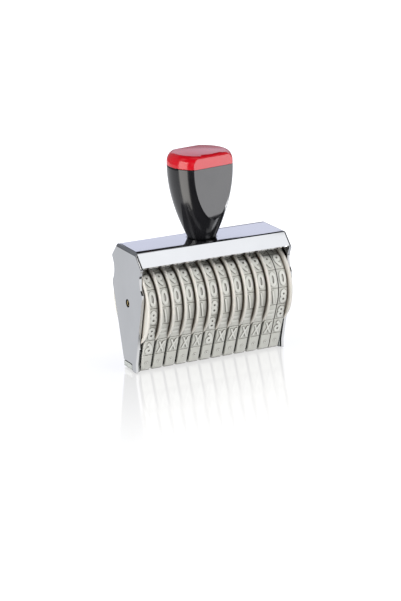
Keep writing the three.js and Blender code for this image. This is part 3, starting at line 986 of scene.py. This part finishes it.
def make_axle():
    end = frame_end - AXLE_RECESS
    hollow_floor = end - AXLE_HOLLOW_DEPTH
    half = [
        (hollow_floor - AXLE_DRILL_TIP, 0),
        (hollow_floor, AXLE_HOLLOW_RADIUS),
        (end - AXLE_HOLLOW_CHAMFER, AXLE_HOLLOW_RADIUS),
        (end, AXLE_HOLLOW_RADIUS + AXLE_HOLLOW_CHAMFER),
        (end, AXLE_RADIUS - AXLE_CHAMFER),
        (end - AXLE_CHAMFER, AXLE_RADIUS),
    ]
    profile = [(-along, radius) for along, radius in half] + half[::-1]
    axle = turned("axle_pin", profile, 0, PIN_FACETS, axle_metal, closed=False)
    axle.data.transform(Matrix.Translation((0, 0, axle_height * MM)))
    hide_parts("axle")
    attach(axle, "stamp")


make_axle()


# Grip

# The body and the cap are turned forms cut flat at the front and the rear, by a block whose upper
# edges round off the cap's top
def cut_flat(piece):
    round_start = FACET_HALF_DEPTH - CAP_TOP_ROUND
    crown_slope = 2 * CAP_CROWN * round_start / cap_flat_radius**2
    crown_height = grip_height - CAP_CROWN * (round_start / cap_flat_radius) ** 2
    edge = arc(
        (round_start, crown_height - CAP_TOP_ROUND), CAP_TOP_ROUND,
        0, math.pi / 2 - math.atan(crown_slope), CAP_TOP_STEPS,
    )
    half = [(FACET_HALF_DEPTH, -GRIP_RADIUS), *edge]
    peak = (0, edge[-1][1] + crown_slope * edge[-1][0])
    outline = half + [peak] + [(-depth, height) for depth, height in reversed(half)]
    block = prism("facet_block", outline, 0, -2 * GRIP_RADIUS, 2 * GRIP_RADIUS, black_plastic)
    combine(piece, block, "INTERSECT")


def place_grip_piece(piece, node, edge_break):
    cut_flat(piece)
    place = Matrix.Translation((0, 0, (frame_height + SEAT_GAP) * MM))
    piece.data.transform(place @ Matrix.Rotation(GRIP_TURN, 4, "Z"))
    shade(piece.data, GRIP_SHARP_ANGLE)
    break_edges(piece, edge_break, segments=3, angle=GRIP_BREAK_ANGLE)
    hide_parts(node)
    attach(piece, "stamp")


def make_grip_body():
    bore_radius = SCREW_RADIUS + SCREW_HOLE_GAP
    bore_top = SCREW_LENGTH + SCREW_HOLE_GAP
    swell = quadratic(
        (GRIP_NECK, 0), (GRIP_RADIUS, GRIP_CURVE_HEIGHT), (GRIP_RADIUS, GRIP_SHOULDER), GRIP_STEPS
    )
    profile = [(bore_top, 0), (bore_top, bore_radius), (0, bore_radius), (0, GRIP_NECK)]
    profile += [(height, radius) for radius, height in swell]
    profile += [
        (grip_seam - SEAM_ROUND, GRIP_RADIUS),
        (grip_seam - SEAM_EASE, GRIP_RADIUS - SEAM_EASE),
        (grip_seam, GRIP_RADIUS - SEAM_ROUND),
        (grip_seam, spigot_radius),
        (grip_seam + SPIGOT_HEIGHT, spigot_radius),
        (grip_seam + SPIGOT_HEIGHT, 0),
    ]
    body = turned("grip_body_shell", profile, 2, GRIP_FACETS, black_plastic, closed=False)
    place_grip_piece(body, "grip_body", GRIP_EDGE_BREAK)


def make_grip_cap():
    bottom = grip_seam + SEAT_GAP
    socket_top = grip_seam + SPIGOT_HEIGHT + SPIGOT_GAP
    socket_radius = spigot_radius + SPIGOT_GAP
    round_bottom = grip_height - CAP_CROWN - CAP_ROUND_HEIGHT
    profile = [
        (socket_top, 0),
        (socket_top, socket_radius),
        (bottom, socket_radius),
        (bottom, GRIP_RADIUS - CAP_FOOT_ROUND),
        (bottom + SEAM_EASE, GRIP_RADIUS - SEAM_EASE),
        (bottom + CAP_FOOT_ROUND, GRIP_RADIUS),
    ]
    profile += [
        (round_bottom + CAP_ROUND_HEIGHT * up_share, cap_flat_radius + CAP_ROUND_REACH * out_share)
        for out_share, up_share in arc((0, 0), 1, 0, math.pi / 2, CAP_ROUND_STEPS)
    ]
    profile += [
        (grip_height - CAP_CROWN * share * share, cap_flat_radius * share)
        for share in CAP_CROWN_SHARES
    ]
    profile.append((grip_height, 0))
    cap = turned("grip_cap_shell", profile, 2, GRIP_FACETS, red_plastic, closed=False)
    place_grip_piece(cap, "grip_cap", CAP_EDGE_BREAK)


make_grip_body()
make_grip_cap()


# Pieces whose solids already have the right shape get their material alone

def dress(node, material):
    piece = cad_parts[node]
    piece.data.materials.clear()
    piece.data.materials.append(material)


dress("bridge", bridge_plastic)
dress("grip_screw", screw_metal)
dress("grip_washer", screw_metal)


# Floor

def make_floor_material():
    material = new_material("pale_floor", (0.15, 0.15, 0.15), roughness=0.1)
    nodes, links = material.node_tree.nodes, material.node_tree.links
    place = nodes.new("ShaderNodeTexCoord")
    squeeze = nodes.new("ShaderNodeVectorMath")
    squeeze.operation = "MULTIPLY"
    squeeze.inputs[1].default_value = FLOOR_DISTANCE_SHARES
    distance = nodes.new("ShaderNodeVectorMath")
    distance.operation = "LENGTH"
    links.new(place.outputs["Object"], squeeze.inputs[0])
    links.new(squeeze.outputs["Vector"], distance.inputs[0])
    span = (FLOOR_NEAR * MM, FLOOR_FAR * MM)
    glow = add_ramp(material, distance.outputs["Value"], span, FLOOR_NEAR_GLOW, FLOOR_FAR_GLOW)
    shader = nodes["Principled BSDF"]
    shader.inputs["IOR"].default_value = FLOOR_REFRACTIVE_INDEX
    shader.inputs["Emission Color"].default_value = (1, 1, 1, 1)
    links.new(glow, shader.inputs["Emission Strength"])
    return material


# The floor glows a little, as a light table does, and less so under the stamp, where it mirrors
# the bands. Glossy pieces see the studio in its place.
def make_floor():
    reach = FLOOR_REACH * MM
    corners = [(-reach, -reach, 0), (reach, -reach, 0), (reach, reach, 0), (-reach, reach, 0)]
    mesh = bpy.data.meshes.new("floor")
    mesh.from_pydata(corners, [], [tuple(range(len(corners)))])
    mesh.materials.append(make_floor_material())
    floor = bpy.data.objects.new("floor", mesh)
    floor.visible_glossy = False
    bpy.context.scene.collection.objects.link(floor)


make_floor()


# Studio, which the glossy pieces mirror

def add_smooth_step(tree, value, low, high):
    step = tree.nodes.new("ShaderNodeMapRange")
    step.interpolation_type = "SMOOTHSTEP"
    step.inputs["From Min"].default_value = low
    step.inputs["From Max"].default_value = high
    tree.links.new(value, step.inputs["Value"])
    return step.outputs["Result"]


def add_math(tree, operation, first, second):
    node = tree.nodes.new("ShaderNodeMath")
    node.operation = operation
    for socket, value in zip(node.inputs, (first, second)):
        if isinstance(value, (int, float)):
            socket.default_value = value
        else:
            tree.links.new(value, socket)
    return node.outputs["Value"]


# How far a direction lies inside a panel, from 0 to 1. Height is its Z, and level is the length
# of its X and Y together.
def add_panel_share(tree, direction, height, level, azimuth, half_width, low, high):
    middle = math.radians(azimuth)
    toward = tree.nodes.new("ShaderNodeVectorMath")
    toward.operation = "DOT_PRODUCT"
    toward.inputs[1].default_value = (math.sin(middle), -math.cos(middle), 0)
    tree.links.new(direction, toward.inputs[0])
    across = add_math(tree, "DIVIDE", toward.outputs["Value"], level)
    edges = [
        math.cos(math.radians(half_width + soft)) for soft in (PANEL_SOFT_ANGLE, -PANEL_SOFT_ANGLE)
    ]
    sector = add_smooth_step(tree, across, *edges)
    above = add_smooth_step(tree, height, low - PANEL_SOFT_EDGE, low + PANEL_SOFT_EDGE)
    below = add_smooth_step(tree, height, high + PANEL_SOFT_EDGE, high - PANEL_SOFT_EDGE)
    return add_math(tree, "MULTIPLY", sector, add_math(tree, "MULTIPLY", above, below))


def make_studio():
    world = bpy.data.worlds.new("studio")
    world.use_nodes = True
    tree = world.node_tree
    direction = tree.nodes.new("ShaderNodeTexCoord").outputs["Generated"]
    split = tree.nodes.new("ShaderNodeSeparateXYZ")
    tree.links.new(direction, split.inputs["Vector"])
    height = split.outputs["Z"]
    # A number just over one keeps the level length above zero straight up and straight down
    height_squared = add_math(tree, "MULTIPLY", height, height)
    level_squared = add_math(tree, "SUBTRACT", JUST_OVER_ONE, height_squared)
    level = add_math(tree, "POWER", level_squared, 0.5)
    colour = tree.nodes.new("ShaderNodeRGB").outputs["Color"]
    colour.default_value = (*ROOM, 1)
    for *bounds, glow in STUDIO.values():
        mix = tree.nodes.new("ShaderNodeMix")
        mix.data_type = "RGBA"
        mix.inputs["B"].default_value = (*glow, 1)
        share = add_panel_share(tree, direction, height, level, *bounds)
        tree.links.new(share, mix.inputs["Factor"])
        tree.links.new(colour, mix.inputs["A"])
        colour = mix.outputs["Result"]
    background = tree.nodes["Background"]
    background.inputs["Strength"].default_value = 1
    tree.links.new(colour, background.inputs["Color"])
    bpy.context.scene.world = world


make_studio()


# Lamps, which show in no reflection

def add_lamp(name, place, size, power):
    data = bpy.data.lights.new(name, "AREA")
    data.shape = "RECTANGLE"
    data.size, data.size_y = (side * MM for side in size)
    data.energy = power
    lamp = bpy.data.objects.new(name, data)
    lamp.visible_glossy = False
    aim = (Vector(LAMP_TARGET) - Vector(place)).to_track_quat("-Z", "Y")
    lamp.matrix_world = Matrix.Translation(Vector(place) * MM) @ aim.to_matrix().to_4x4()
    bpy.context.scene.collection.objects.link(lamp)


for name, lamp in LAMPS.items():
    add_lamp(name, **lamp)
bpy.context.scene.view_settings.view_transform = "Standard"
